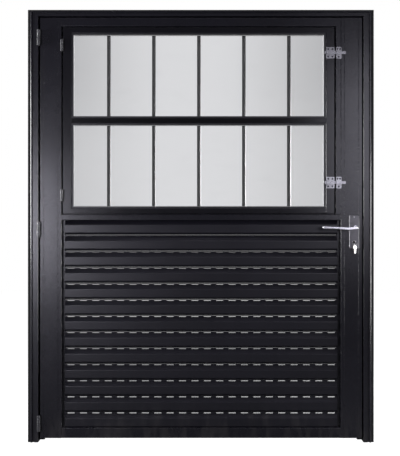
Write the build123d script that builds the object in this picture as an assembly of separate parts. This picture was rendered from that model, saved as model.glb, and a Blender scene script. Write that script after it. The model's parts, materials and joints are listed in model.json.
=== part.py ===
from build123d import *
import os

# A metal door leaf in its three-sided frame. The upper half of the leaf holds
# a glazed sash that opens by itself, with grille bars behind it, and the lower
# half is closed by louvre slats. Millimetres, +Z up, the room side faces -Y,
# the origin is on the floor below the middle of the leaf.

# Frame
FRAME_WIDTH = 1680.0
FRAME_HEIGHT = 2100.0
JAMB_FACE = 50.0
HEAD_FACE = 31.0
FRAME_WALL = 2.0
FRAME_PROUD = 3.0
LIP_DROP = 4.0
GROOVE_DROP = 1.0
RIDGE_MIDDLE = 17.5
RIDGE_RISE = 3.5
RIDGE_SHOULDER = 1.5
RIDGE_HALVES = (5.5, 3.5, 1.5)
BAND_START = 31.0
BAND_EDGE = 1.0
STOP_WIDTH = 21.0
STOP_DEPTH = 17.0
SEAL_WIDTH = 7.0
SEAL_INSET = 2.0
ANCHOR_RADIUS = 5.25
ANCHOR_END = 150.0

# Leaf and its gaps to the frame
LEAF_THICK = 50.0
LEAF_WALL = 2.0
HINGE_GAP = 9.0
LOCK_GAP = 6.0
TOP_GAP = 7.0
FLOOR_GAP = 20.0
SEAL_GAP = 3.0
STILE_WIDTH = 104.0
STEP_WIDTH = 15.0
TOP_RAIL = 42.0
MID_RAIL = 28.0
MID_RAIL_FOOT = 1078.0
BOTTOM_RAIL = 50.0
EDGE_BEVEL = 1.5
GROOVE_WIDTH = 1.6
GROOVE_DEPTH = 1.0
GROOVE_OUTER = 18.0
GROOVE_INNER = 87.0

# Sash and its gaps to the leaf
SASH_THICK = 24.0
SASH_WALL = 2.0
SASH_EDGE = 1.0
SASH_CLEAR = 1.0
SASH_HINGE_GAP = 7.0
SASH_LOCK_GAP = 7.0
SASH_TOP_GAP = 5.0
SASH_FOOT_GAP = 6.0
SASH_STILE = 41.0
SASH_TOP_RAIL = 26.0
SASH_FOOT_RAIL = 24.0
TRANSOM = 25.0
TRANSOM_DROP = 1.0
GLASS_THICK = 6.0
GLASS_LIP = 3.0
BEAD_WIDTH = 9.0
BEAD_DEPTH = 10.0
KEEPER_STRIP = 24.0
STRIP_LIP = 19.0
STRIP_LIP_THICK = 4.0

# Grille bars behind the sash
BAR_COUNT = 5
BAR_SPREAD = 4.0
BAR_SHIFT = 0.9
BAR_RADIUS = 9.0
BAR_DEPTH = 13.0

# Louvre slats
SLAT_COUNT = 13
SLAT_TUCK_TOP = 2.35
SLAT_TUCK_FOOT = 10.8
SLAT_SHEET = 1.5
SLAT_RECESS = -3.0
SLAT_FOOT_RISE = 4.0
SLOT_COUNT = 22
SLOT_SPREAD = 4.0
SLOT_LENGTH = 34.0
SLOT_HEIGHT = 4.0
# Bends of a slat, from the lip of its hood down over its ridge: y and drop below the middle of its slots
SLAT_BENDS = (
    (16.0, 2.2), (16.0, -1.0), (SLAT_RECESS, -4.0), (SLAT_RECESS, 2.8), (-4.6, 4.6),
    (-14.6, 22.0), (-16.2, 24.4), (-16.5, 27.0), (-16.5, 60.5), (-16.0, 63.0), (-14.4, 65.2),
)

# Hinges of the leaf
HINGE_FROM_FOOT = 35.0
HINGE_FROM_TOP = 137.0
MIDDLE_HINGE_RISE = 6.5
HINGE_HEIGHT = 76.0
KNUCKLE_RADIUS = 8.5
PIN_RADIUS = 4.0
PIN_CLEAR = 0.05
PIN_SHORT = 3.0
BORE_SHORT = 2.0
KNUCKLE_GAP = 1.0
FLAP_THICK = 2.5
FLAP_DEPTH = 26.0

# Hinges of the sash
SASH_HINGE_FROM_FOOT = 58.0
SASH_HINGE_FROM_TOP = 117.0
SASH_HINGE_HEIGHT = 58.0
SASH_KNUCKLE_RADIUS = 7.5
SASH_PIN_RADIUS = 3.0
SASH_FLAP_THICK = 2.0
SASH_FLAP_DEPTH = 24.0
SASH_KNUCKLE_OFF = 1.5

# Sash bolts
BOLT_FROM_FOOT = 149.0
BOLT_FROM_TOP = 124.0
BOLT_WIDTH = 13.0
BOLT_THICK = 5.0
BOLT_CLEAR = 0.3
BOLT_PAST_KEEPER = 20.0
BOLT_LUG = 6.0
LUG_OFF = 2.0
BASE_HEIGHT = 55.0
BASE_THICK = 2.0
BASE_ROUND = 3.0
GUIDE_WALL = 1.8
GUIDE_INSET = 3.0
KEEPER_WIDTH = 26.0
KEEPER_HEIGHT = 57.0
KEEPER_SET = 1.0
SCREW_RADIUS = 2.2

# Lock, lever and key
BACKSET = 40.5
LEVER_HEIGHT = 1043.0
CYLINDER_DROP = 70.0
PLATE_WIDTH = 47.0
PLATE_BELOW = 102.0
PLATE_ABOVE = 60.0
PLATE_THICK = 7.0
PLATE_ROUND = 5.0
FIT = 0.3
NECK_RADIUS = 9.0
NECK_OUT = 31.0
LEVER_LENGTH = 160.0
LEVER_DEEP = 15.0
LEVER_TAIL = 10.5
# Grip: share of its length, drop of its middle below the spindle and half its height there
LEVER_BENDS = ((0.0, 2.5, 8.0), (0.15, 5.5, 7.9), (0.5, 3.0, 6.4), (0.83, 1.2, 6.9), (0.953, 0.8, 7.5))
SPINDLE_SHORT = 3.0
SPINDLE = 8.0
SPINDLE_FIT = 0.1
CASE_THICK = 15.0
CASE_WALL = 1.5
CASE_DEPTH = 65.0
CASE_BELOW = 45.0
CASE_ABOVE = 40.0
FACEPLATE_WIDTH = 24.0
FACEPLATE_THICK = 3.0
FACEPLATE_MARGIN = 28.0
FOLLOWER_RADIUS = 11.0
FOLLOWER_ARM = 17.0
FOLLOWER_ARM_WIDTH = 8.0
LATCH_OUT = 11.0
LATCH_HIGH = 20.0
LATCH_BAR = 4.0
LATCH_BEVEL = 2.0
HOOK_WIDE = 4.5
HOOK_DEEP = 6.0
MOVE_CLEAR = 1.0
DEADBOLT_HIGH = 22.0
DEADBOLT_LONG = 34.0
DEADBOLT_RISE = 19.0
STRIKE_THICK = 2.0
STRIKE_WIDTH = 24.0
STRIKE_MARGIN = 30.0
CYLINDER_RADIUS = 8.5
CYLINDER_WEB = 5.0
CYLINDER_HIGH = 33.0
CYLINDER_PROUD = 3.0
PLUG_RADIUS = 6.5
PLUG_CLEAR = 0.06
PLUG_PAST_CAM = 3.0
CAM_CLEAR = 0.5
BLIND_KEYWAY = 8.0
CAM_RADIUS = 14.5
CAM_THICK = 9.0
CAM_WIDTH = 8.0
KEY_THICK = 2.2
KEY_BLADE = 7.4
KEY_POINT = 3.0
KEY_TEETH = 3
TOOTH_DEPTH = 1.6
TOOTH_HALF = 2.2
KEYWAY_FIT = 0.2
BOW_RADIUS = 11.0
BOW_OUT = 17.0
KEY_HOLE_RADIUS = 3.2
KEY_HOLE_OFF = 5.0
RING_RADIUS = 9.0
RING_WIRE = 0.8
RING_SLACK = 0.4
SPARE_LENGTH = 34.5
SPARE_BOW = 9.5
SPARE_TURN = 40.0

# Places that follow from the sizes
HALF_WIDTH = FRAME_WIDTH / 2
LEAF_FRONT = -LEAF_THICK / 2
LEAF_BACK = LEAF_THICK / 2
ANCHOR_MIDDLE = FRAME_HEIGHT / 2
ANCHOR_SPAN = FRAME_HEIGHT - 2 * ANCHOR_END
ANCHOR_INNER_SPAN = ANCHOR_SPAN / 3
BAND_FRONT = LEAF_FRONT - FRAME_PROUD
STOP_FRONT = LEAF_BACK + SEAL_GAP
FRAME_BACK = STOP_FRONT + STOP_DEPTH
LEAF_LEFT = -HALF_WIDTH + JAMB_FACE + HINGE_GAP
LEAF_RIGHT = HALF_WIDTH - JAMB_FACE - LOCK_GAP
LEAF_TOP = FRAME_HEIGHT - HEAD_FACE - TOP_GAP
LEAF_FOOT = FLOOR_GAP
INNER_LEFT = LEAF_LEFT + STILE_WIDTH
INNER_RIGHT = LEAF_RIGHT - STILE_WIDTH
STEP_FRONT = LEAF_FRONT + SASH_THICK + SASH_CLEAR
TOP_RAIL_FOOT = LEAF_TOP - TOP_RAIL
MID_RAIL_TOP = MID_RAIL_FOOT + MID_RAIL
BOTTOM_RAIL_TOP = LEAF_FOOT + BOTTOM_RAIL
SASH_LEFT = INNER_LEFT + SASH_HINGE_GAP
SASH_RIGHT = INNER_RIGHT - KEEPER_STRIP - SASH_LOCK_GAP
SASH_TOP = TOP_RAIL_FOOT - SASH_TOP_GAP
SASH_FOOT = MID_RAIL_TOP + SASH_FOOT_GAP
TRANSOM_MIDDLE = (SASH_FOOT + SASH_TOP) / 2 - TRANSOM_DROP
SASH_BACK = LEAF_FRONT + SASH_THICK
GLASS_BACK = SASH_BACK - GLASS_LIP
GLASS_FRONT = GLASS_BACK - GLASS_THICK
LOW_HINGE = LEAF_FOOT + HINGE_FROM_FOOT
HIGH_HINGE = LEAF_TOP - HINGE_FROM_TOP
HINGE_FEET = (LOW_HINGE, (LOW_HINGE + HIGH_HINGE) / 2 + MIDDLE_HINGE_RISE, HIGH_HINGE)
HINGE_X = LEAF_LEFT - HINGE_GAP / 2
HINGE_Y = BAND_FRONT - KNUCKLE_RADIUS - KNUCKLE_GAP
SASH_HINGE_FEET = (SASH_FOOT + SASH_HINGE_FROM_FOOT, SASH_TOP - SASH_HINGE_FROM_TOP)
BOLT_HEIGHTS = (SASH_FOOT + BOLT_FROM_FOOT, SASH_TOP - BOLT_FROM_TOP)
SASH_HINGE_X = SASH_LEFT - SASH_HINGE_GAP / 2
SASH_HINGE_Y = LEAF_FRONT - SASH_KNUCKLE_RADIUS - SASH_KNUCKLE_OFF
SLAT_PITCH = (MID_RAIL_FOOT + SLAT_TUCK_TOP - BOTTOM_RAIL_TOP + SLAT_TUCK_FOOT) / SLAT_COUNT
SLAT_LEFT = INNER_LEFT + STEP_WIDTH
SLAT_RIGHT = INNER_RIGHT - STEP_WIDTH
SLOT_PITCH = (SLAT_RIGHT - SLAT_LEFT + SLOT_SPREAD) / SLOT_COUNT
BAR_PITCH = (SASH_RIGHT - SASH_LEFT + BAR_SPREAD) / (BAR_COUNT + 1)
BAR_MIDDLE = (SASH_LEFT + SASH_RIGHT) / 2 + BAR_SHIFT
LOCK_X = LEAF_RIGHT - BACKSET
CYLINDER_Z = LEVER_HEIGHT - CYLINDER_DROP
PLATE_FOOT = LEVER_HEIGHT - PLATE_BELOW
PLATE_TOP = LEVER_HEIGHT + PLATE_ABOVE
PLATE_FRONT = LEAF_FRONT - PLATE_THICK
CYLINDER_FRONT = PLATE_FRONT - CYLINDER_PROUD
CASE_BACK_X = LEAF_RIGHT - FACEPLATE_THICK - CASE_DEPTH
CASE_MOUTH_X = LEAF_RIGHT - FACEPLATE_THICK
CASE_FOOT = CYLINDER_Z - CASE_BELOW
CASE_TOP = LEVER_HEIGHT + CASE_ABOVE
BOLT_HALF = CASE_THICK / 2 - CASE_WALL - FIT
DEADBOLT_FOOT = CYLINDER_Z + DEADBOLT_RISE


def block(x0, x1, y0, y1, z0, z1):
    centre = Pos((x0 + x1) / 2, (y0 + y1) / 2, (z0 + z1) / 2)
    return centre * Box(abs(x1 - x0), abs(y1 - y0), abs(z1 - z0))


def rod(start, end, radius):
    """Round bar from one point to another."""
    line = Vector(*end) - Vector(*start)
    plane = Plane(origin=start, z_dir=line.normalized())
    return extrude(plane * Circle(radius), amount=line.length)


def prism_x(points, x0, x1):
    """Outline in (y, z), extruded along X."""
    face = make_face(Polyline(*[(x0, y, z) for y, z in points], close=True))
    return extrude(face, amount=x1 - x0, dir=(1, 0, 0))


def prism_y(points, y0, y1):
    """Outline in (x, z), extruded along Y."""
    face = make_face(Polyline(*[(x, y0, z) for x, z in points], close=True))
    return extrude(face, amount=y1 - y0, dir=(0, 1, 0))


def prism_z(points, z0, z1):
    """Outline in (x, y), extruded along Z."""
    face = make_face(Polyline(*[(x, y, z0) for x, y in points], close=True))
    return extrude(face, amount=z1 - z0, dir=(0, 0, 1))


def sheet_outline(path, thickness):
    """Closed outline of a bent sheet from its middle line, with mitred bends."""
    sides = ([], [])
    for i, (a, b) in enumerate(path):
        before = path[max(i - 1, 0)]
        after = path[min(i + 1, len(path) - 1)]
        into = Vector(a - before[0], b - before[1], 0)
        out = Vector(after[0] - a, after[1] - b, 0)
        into = (into if into.length > 0 else out).normalized()
        out = (out if out.length > 0 else into).normalized()
        normal = Vector(-into.Y - out.Y, into.X + out.X, 0).normalized()
        reach = thickness / 2 / (normal.X * -into.Y + normal.Y * into.X)
        sides[0].append((a + normal.X * reach, b + normal.Y * reach))
        sides[1].append((a - normal.X * reach, b - normal.Y * reach))
    return sides[0] + sides[1][::-1]


# Frame

def frame_section(face):
    """Frame outline in (distance in from the outer edge, y) for one face width."""
    share = face / JAMB_FACE
    lip_front = BAND_FRONT + LIP_DROP
    groove = lip_front + GROOVE_DROP
    crest = BAND_FRONT - RIDGE_RISE
    heights = (crest + RIDGE_SHOULDER, crest)
    base, shoulder, flat = RIDGE_HALVES
    stations = [(0, FRAME_BACK), (0, lip_front), (RIDGE_MIDDLE - base, lip_front)]
    stations += [(RIDGE_MIDDLE - shoulder, heights[0]), (RIDGE_MIDDLE - flat, heights[1])]
    stations += [(RIDGE_MIDDLE + flat, heights[1]), (RIDGE_MIDDLE + shoulder, heights[0])]
    stations += [(RIDGE_MIDDLE + base, groove), (BAND_START - BAND_EDGE, groove), (BAND_START, BAND_FRONT)]
    stations += [(JAMB_FACE - BAND_EDGE, BAND_FRONT), (JAMB_FACE, BAND_FRONT + BAND_EDGE)]
    stations += [(JAMB_FACE, STOP_FRONT), (JAMB_FACE + STOP_WIDTH, STOP_FRONT)]
    stations += [(JAMB_FACE + STOP_WIDTH, FRAME_BACK)]
    return [(f * share, y) for f, y in stations]


def frame_hollow(face):
    share = face / JAMB_FACE
    stop = (JAMB_FACE + STOP_WIDTH) * share
    front = BAND_FRONT + LIP_DROP + GROOVE_DROP + FRAME_WALL
    return [
        (FRAME_WALL, front), (face - FRAME_WALL, front), (face - FRAME_WALL, STOP_FRONT + FRAME_WALL),
        (stop - FRAME_WALL, STOP_FRONT + FRAME_WALL), (stop - FRAME_WALL, FRAME_BACK - FRAME_WALL),
        (FRAME_WALL, FRAME_BACK - FRAME_WALL),
    ]


def mitre_wedge(side, above):
    """The space above or below the mitre line of one upper corner."""
    run = 3 * JAMB_FACE
    drop = run * HEAD_FACE / JAMB_FACE
    corner = (side * HALF_WIDTH, FRAME_HEIGHT)
    inner = (side * (HALF_WIDTH - run), FRAME_HEIGHT - drop)
    outer = (side * (HALF_WIDTH + run), FRAME_HEIGHT + drop)
    far = (inner[0], outer[1]) if above else (outer[0], inner[1])
    return prism_y([inner, corner, outer, far], BAND_FRONT - 2 * RIDGE_RISE, FRAME_BACK + RIDGE_RISE)


def jamb(side):
    """side is -1 for the hinge jamb and 1 for the lock jamb."""
    place = lambda points: [(side * (HALF_WIDTH - f), y) for f, y in points]
    solid = prism_z(place(frame_section(JAMB_FACE)), 0, FRAME_HEIGHT)
    solid -= prism_z(place(frame_hollow(JAMB_FACE)), 0, FRAME_HEIGHT)
    solid -= mitre_wedge(side, True)
    for span in (ANCHOR_SPAN, ANCHOR_INNER_SPAN):
        for end in (-1, 1):
            z = ANCHOR_MIDDLE + end * span / 2
            outside = (side * (HALF_WIDTH + 1), 0, z)
            inside = (side * (HALF_WIDTH - JAMB_FACE - 1), 0, z)
            solid -= rod(outside, inside, ANCHOR_RADIUS)
    return solid


def lock_jamb():
    x = HALF_WIDTH - JAMB_FACE
    solid = jamb(1)
    for z0, z1 in bolt_pockets():
        solid -= block(x - 1, x + FRAME_WALL + 1, -pocket_half(), pocket_half(), z0, z1)
    return solid


def bolt_pockets():
    half = LATCH_HIGH / 2 + MOVE_CLEAR
    latch = (LEVER_HEIGHT - half, LEVER_HEIGHT + half)
    dead = (DEADBOLT_FOOT - MOVE_CLEAR, DEADBOLT_FOOT + DEADBOLT_HIGH + MOVE_CLEAR)
    return latch, dead


def pocket_half():
    return BOLT_HALF + MOVE_CLEAR


def head():
    place = lambda points: [(y, FRAME_HEIGHT - f) for f, y in points]
    solid = prism_x(place(frame_section(HEAD_FACE)), -HALF_WIDTH, HALF_WIDTH)
    solid -= prism_x(place(frame_hollow(HEAD_FACE)), -HALF_WIDTH, HALF_WIDTH)
    return solid - mitre_wedge(-1, False) - mitre_wedge(1, False)


def frame_seal():
    """Rubber strips on the stops, just behind the leaf."""
    share = HEAD_FACE / JAMB_FACE
    y0 = LEAF_BACK + FIT
    side = HALF_WIDTH - JAMB_FACE - STOP_WIDTH + SEAL_INSET
    top = FRAME_HEIGHT - (JAMB_FACE + STOP_WIDTH - SEAL_INSET) * share
    strips = [block(-side - SEAL_WIDTH, -side, y0, STOP_FRONT, LEAF_FOOT, top)]
    strips.append(block(side, side + SEAL_WIDTH, y0, STOP_FRONT, LEAF_FOOT, top))
    strips.append(block(-side, side, y0, STOP_FRONT, top, top + SEAL_WIDTH * share))
    return strips


def strike_plate():
    x = HALF_WIDTH - JAMB_FACE
    half = STRIKE_WIDTH / 2
    foot = DEADBOLT_FOOT - STRIKE_MARGIN
    top = LEVER_HEIGHT + LATCH_HIGH / 2 + STRIKE_MARGIN
    solid = block(x - STRIKE_THICK, x, -half, half, foot, top)
    for z0, z1 in bolt_pockets():
        solid -= block(x - STRIKE_THICK - 1, x + 1, -pocket_half(), pocket_half(), z0, z1)
    for z in (foot + STRIKE_MARGIN / 2, top - STRIKE_MARGIN / 2):
        solid -= rod((x - STRIKE_THICK - 1, 0, z), (x + 1, 0, z), SCREW_RADIUS)
    return solid


# Hinges

def knuckle(x, y, radius, z0, z1):
    barrel = rod((x, y, z0), (x, y, z1), radius)
    return chamfer(barrel.edges().filter_by(GeomType.CIRCLE), radius / 7)


def frame_hinges():
    """Lower hinge halves on the jamb, each with its pin."""
    solids = []
    jamb_x = -HALF_WIDTH + JAMB_FACE
    for foot in HINGE_FEET:
        middle = foot + (HINGE_HEIGHT - KNUCKLE_GAP) / 2
        half = knuckle(HINGE_X, HINGE_Y, KNUCKLE_RADIUS, foot, middle)
        half += block(jamb_x, jamb_x + FLAP_THICK, HINGE_Y, HINGE_Y + FLAP_DEPTH, foot, middle)
        half += rod((HINGE_X, HINGE_Y, middle - 1), (HINGE_X, HINGE_Y, foot + HINGE_HEIGHT - PIN_SHORT), PIN_RADIUS)
        solids.append(half)
    return solids


def leaf_hinges():
    """Upper hinge halves on the edge of the leaf."""
    solids = []
    for foot in HINGE_FEET:
        middle = foot + (HINGE_HEIGHT + KNUCKLE_GAP) / 2
        top = foot + HINGE_HEIGHT
        half = knuckle(HINGE_X, HINGE_Y, KNUCKLE_RADIUS, middle, top)
        half += block(LEAF_LEFT - FLAP_THICK, LEAF_LEFT, HINGE_Y, HINGE_Y + FLAP_DEPTH, middle, top)
        bore = PIN_RADIUS + PIN_CLEAR
        half -= rod((HINGE_X, HINGE_Y, middle - 1), (HINGE_X, HINGE_Y, top - BORE_SHORT), bore)
        solids.append(half)
    return solids


def sash_hinge_brackets():
    """Lower halves on the stile of the leaf, each with its pin."""
    solids = []
    for foot in SASH_HINGE_FEET:
        middle = foot + (SASH_HINGE_HEIGHT - KNUCKLE_GAP) / 2
        top = foot + SASH_HINGE_HEIGHT
        half = knuckle(SASH_HINGE_X, SASH_HINGE_Y, SASH_KNUCKLE_RADIUS, foot, middle)
        depth = SASH_HINGE_Y + SASH_FLAP_DEPTH
        half += block(INNER_LEFT, INNER_LEFT + SASH_FLAP_THICK, SASH_HINGE_Y, depth, foot, middle)
        pin_top = (SASH_HINGE_X, SASH_HINGE_Y, top - PIN_SHORT)
        half += rod((SASH_HINGE_X, SASH_HINGE_Y, middle - 1), pin_top, SASH_PIN_RADIUS)
        solids.append(half)
    return solids


def sash_hinge_knuckles():
    """Upper halves on the edge of the sash."""
    solids = []
    for foot in SASH_HINGE_FEET:
        middle = foot + (SASH_HINGE_HEIGHT + KNUCKLE_GAP) / 2
        top = foot + SASH_HINGE_HEIGHT
        half = knuckle(SASH_HINGE_X, SASH_HINGE_Y, SASH_KNUCKLE_RADIUS, middle, top)
        depth = SASH_HINGE_Y + SASH_FLAP_DEPTH
        half += block(SASH_LEFT - SASH_FLAP_THICK, SASH_LEFT, SASH_HINGE_Y, depth, middle, top)
        bore = SASH_PIN_RADIUS + PIN_CLEAR
        bore_top = (SASH_HINGE_X, SASH_HINGE_Y, top - BORE_SHORT)
        half -= rod((SASH_HINGE_X, SASH_HINGE_Y, middle - 1), bore_top, bore)
        solids.append(half)
    return solids


# Leaf

def groove(place):
    half = GROOVE_WIDTH / 2
    return [(place - half, LEAF_FRONT), (place, LEAF_FRONT + GROOVE_DEPTH), (place + half, LEAF_FRONT)]


def stile_outline(side):
    """Stile with a rear step that stops the sash and carries the slats."""
    inner = STILE_WIDTH
    points = [(0, LEAF_FRONT + EDGE_BEVEL), (EDGE_BEVEL, LEAF_FRONT)]
    points += groove(GROOVE_OUTER) + groove(GROOVE_INNER)
    points += [(inner - EDGE_BEVEL, LEAF_FRONT), (inner, LEAF_FRONT + EDGE_BEVEL), (inner, STEP_FRONT)]
    points += [(inner + STEP_WIDTH, STEP_FRONT), (inner + STEP_WIDTH, LEAF_BACK), (0, LEAF_BACK)]
    return stile_places(points, side)


def stile_hollow(side):
    wall = LEAF_WALL
    inner = STILE_WIDTH - wall
    step = STILE_WIDTH + STEP_WIDTH - wall
    points = [(wall, LEAF_FRONT + wall), (inner, LEAF_FRONT + wall), (inner, STEP_FRONT + wall)]
    points += [(step, STEP_FRONT + wall), (step, LEAF_BACK - wall), (wall, LEAF_BACK - wall)]
    return stile_places(points, side)


def stile_places(points, side):
    if side < 0:
        return [(LEAF_LEFT + g, y) for g, y in points]
    return [(LEAF_RIGHT - g, y) for g, y in points]


def stile_body(side):
    return prism_z(stile_outline(side), LEAF_FOOT, LEAF_TOP)


def leaf_stile(side):
    return stile_body(side) - prism_z(stile_hollow(side), LEAF_FOOT, LEAF_TOP)


def lock_stile():
    """Lock stile with its openings for the lock, the spindle and the cylinder."""
    solid = leaf_stile(1)
    half = FACEPLATE_WIDTH / 2 + FIT / 2
    foot = CASE_FOOT - FACEPLATE_MARGIN
    top = CASE_TOP + FACEPLATE_MARGIN
    solid -= block(CASE_MOUTH_X, LEAF_RIGHT + 1, -half, half, foot, top)
    solid -= rod((LOCK_X, LEAF_FRONT - 1, LEVER_HEIGHT), (LOCK_X, LEAF_BACK + 1, LEVER_HEIGHT), SPINDLE)
    return solid - cylinder_shape(1.0, LEAF_FRONT - 1, LEAF_BACK + 1)


def rail(foot, top, step_below, step_above):
    """Hollow rail between the stiles, coped over their steps."""
    wall = LEAF_WALL
    outline = [(LEAF_FRONT, foot + EDGE_BEVEL), (LEAF_FRONT, top - EDGE_BEVEL)]
    outline += [(LEAF_FRONT + EDGE_BEVEL, top), (STEP_FRONT, top)]
    outline += [(STEP_FRONT, top + step_above), (LEAF_BACK, top + step_above)]
    outline += [(LEAF_BACK, foot - step_below), (STEP_FRONT, foot - step_below)]
    outline += [(STEP_FRONT, foot), (LEAF_FRONT + EDGE_BEVEL, foot)]
    clean = [p for i, p in enumerate(outline) if p not in outline[:i]]
    solid = prism_x(clean, INNER_LEFT, INNER_RIGHT)
    solid -= block(INNER_LEFT, INNER_RIGHT, LEAF_FRONT + wall, LEAF_BACK - wall, foot + wall, top - wall)
    return solid - stile_body(-1) - stile_body(1)


def top_rail():
    return rail(TOP_RAIL_FOOT, LEAF_TOP, STEP_WIDTH, 0)


def mid_rail():
    return rail(MID_RAIL_FOOT, MID_RAIL_TOP, 0, STEP_WIDTH)


def bottom_rail():
    return rail(LEAF_FOOT, BOTTOM_RAIL_TOP, 0, 0)


def keeper_strip():
    """Strip beside the lock stile that carries the keepers, with a stop lip behind the sash."""
    left = INNER_RIGHT - KEEPER_STRIP
    points = [(INNER_RIGHT, LEAF_FRONT), (left, LEAF_FRONT), (left, STEP_FRONT)]
    points += [(left - STRIP_LIP, STEP_FRONT), (left - STRIP_LIP, STEP_FRONT + STRIP_LIP_THICK)]
    points += [(INNER_RIGHT - STEP_WIDTH, STEP_FRONT + STRIP_LIP_THICK)]
    points += [(INNER_RIGHT - STEP_WIDTH, STEP_FRONT), (INNER_RIGHT, STEP_FRONT)]
    foot = MID_RAIL_TOP + STEP_WIDTH
    solid = prism_z(points, MID_RAIL_TOP, TOP_RAIL_FOOT)
    wall = LEAF_WALL
    solid -= block(left + wall, INNER_RIGHT - wall, LEAF_FRONT + wall, STEP_FRONT - wall, MID_RAIL_TOP, TOP_RAIL_FOOT)
    for z0, z1 in ((MID_RAIL_TOP, foot), (TOP_RAIL_FOOT - STEP_WIDTH, TOP_RAIL_FOOT)):
        solid -= block(left - STRIP_LIP, INNER_RIGHT, STEP_FRONT, LEAF_BACK, z0, z1)
    return solid


def grille_bar(index):
    x = BAR_MIDDLE + (index - (BAR_COUNT - 1) / 2) * BAR_PITCH
    foot = MID_RAIL_TOP + STEP_WIDTH
    return rod((x, BAR_DEPTH, foot), (x, BAR_DEPTH, TOP_RAIL_FOOT - STEP_WIDTH), BAR_RADIUS)


def slat_path(line):
    """Middle line of the bent sheet in (y, z); line is the height of its slots."""
    foot = (SLAT_RECESS, SLAT_PITCH - SLAT_FOOT_RISE - SLAT_SHEET - FIT)
    return [(y, line - drop) for y, drop in SLAT_BENDS + (foot,)]


def slat(index):
    line = MID_RAIL_FOOT + SLAT_TUCK_TOP - index * SLAT_PITCH
    solid = prism_x(sheet_outline(slat_path(line), SLAT_SHEET), SLAT_LEFT, SLAT_RIGHT)
    middle = (SLAT_LEFT + SLAT_RIGHT) / 2
    for i in range(SLOT_COUNT):
        x = middle + (i - (SLOT_COUNT - 1) / 2) * SLOT_PITCH
        half = SLOT_LENGTH / 2
        y0 = SLAT_RECESS - SLAT_SHEET
        y1 = SLAT_RECESS + SLAT_SHEET
        solid -= block(x - half, x + half, y0, y1, line - SLOT_HEIGHT / 2, line + SLOT_HEIGHT / 2)
    high = 2 * SLAT_PITCH
    if line + SLOT_HEIGHT > MID_RAIL_FOOT:
        solid -= block(SLAT_LEFT, SLAT_RIGHT, LEAF_FRONT, LEAF_BACK, MID_RAIL_FOOT, MID_RAIL_FOOT + high)
    if line - SLAT_PITCH < BOTTOM_RAIL_TOP:
        solid -= block(SLAT_LEFT, SLAT_RIGHT, LEAF_FRONT, LEAF_BACK, BOTTOM_RAIL_TOP - high, BOTTOM_RAIL_TOP)
    return solid


# Sash

def sash_section(width, lip_side):
    """Bar outline in (distance from its outer side, y) with a glazing lip on one or both inner sides."""
    lip = [(width, GLASS_BACK), (width + BEAD_WIDTH, GLASS_BACK), (width + BEAD_WIDTH, SASH_BACK)]
    points = [(0, LEAF_FRONT + SASH_EDGE), (SASH_EDGE, LEAF_FRONT), (width - SASH_EDGE, LEAF_FRONT)]
    points += [(width, LEAF_FRONT + SASH_EDGE)] + lip
    if lip_side == "both":
        return points + [(-BEAD_WIDTH, SASH_BACK), (-BEAD_WIDTH, GLASS_BACK), (0, GLASS_BACK)]
    return points + [(0, SASH_BACK)]


def sash_hollow(width):
    low = LEAF_FRONT + SASH_WALL
    high = SASH_BACK - SASH_WALL
    return [(SASH_WALL, low), (width - SASH_WALL, low), (width - SASH_WALL, high), (SASH_WALL, high)]


def sash_stile_body(side, section):
    start = SASH_LEFT if side < 0 else SASH_RIGHT
    return prism_z([(start - side * g, y) for g, y in section], SASH_FOOT, SASH_TOP)


def sash_stile(side):
    return sash_stile_body(side, sash_section(SASH_STILE, "inner")) - sash_stile_body(side, sash_hollow(SASH_STILE))


def sash_cross(start, direction, width, lip_side):
    """Rail or transom between the sash stiles, coped over their lips."""
    place = lambda points: [(y, start + direction * g) for g, y in points]
    left = SASH_LEFT + SASH_STILE
    right = SASH_RIGHT - SASH_STILE
    solid = prism_x(place(sash_section(width, lip_side)), left, right)
    solid -= prism_x(place(sash_hollow(width)), left, right)
    section = sash_section(SASH_STILE, "inner")
    return solid - sash_stile_body(-1, section) - sash_stile_body(1, section)


def sash_top_rail():
    return sash_cross(SASH_TOP, -1, SASH_TOP_RAIL, "inner")


def sash_foot_rail():
    return sash_cross(SASH_FOOT, 1, SASH_FOOT_RAIL, "inner")


def sash_transom():
    return sash_cross(TRANSOM_MIDDLE - TRANSOM / 2, 1, TRANSOM, "both")


def pane_spans():
    lower = (SASH_FOOT + SASH_FOOT_RAIL, TRANSOM_MIDDLE - TRANSOM / 2)
    upper = (TRANSOM_MIDDLE + TRANSOM / 2, SASH_TOP - SASH_TOP_RAIL)
    return lower, upper


def glass(span):
    left = SASH_LEFT + SASH_STILE
    right = SASH_RIGHT - SASH_STILE
    return block(left + 1, right - 1, GLASS_FRONT, GLASS_BACK, span[0] + 1, span[1] - 1)


def glazing_beads():
    """Two upright and two level beads in front of each pane."""
    left = SASH_LEFT + SASH_STILE
    right = SASH_RIGHT - SASH_STILE
    front = GLASS_FRONT - BEAD_DEPTH
    beads = []
    for z0, z1 in pane_spans():
        for x0 in (left, right - BEAD_WIDTH):
            beads.append(block(x0, x0 + BEAD_WIDTH, front, GLASS_FRONT, z0, z1))
        for foot in (z0, z1 - BEAD_WIDTH):
            beads.append(block(left + BEAD_WIDTH, right - BEAD_WIDTH, front, GLASS_FRONT, foot, foot + BEAD_WIDTH))
    return beads


# Sash bolts

def guide(x0, x1, z, foot_y):
    """Low bridge over the flat bolt."""
    front = foot_y - BOLT_THICK - 2 * BOLT_CLEAR - GUIDE_WALL
    half = BOLT_WIDTH / 2 + BOLT_CLEAR
    bridge = block(x0, x1, front, foot_y, z - half - GUIDE_WALL, z + half + GUIDE_WALL)
    return bridge - block(x0 - 1, x1 + 1, front + GUIDE_WALL, foot_y, z - half, z + half)


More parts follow.
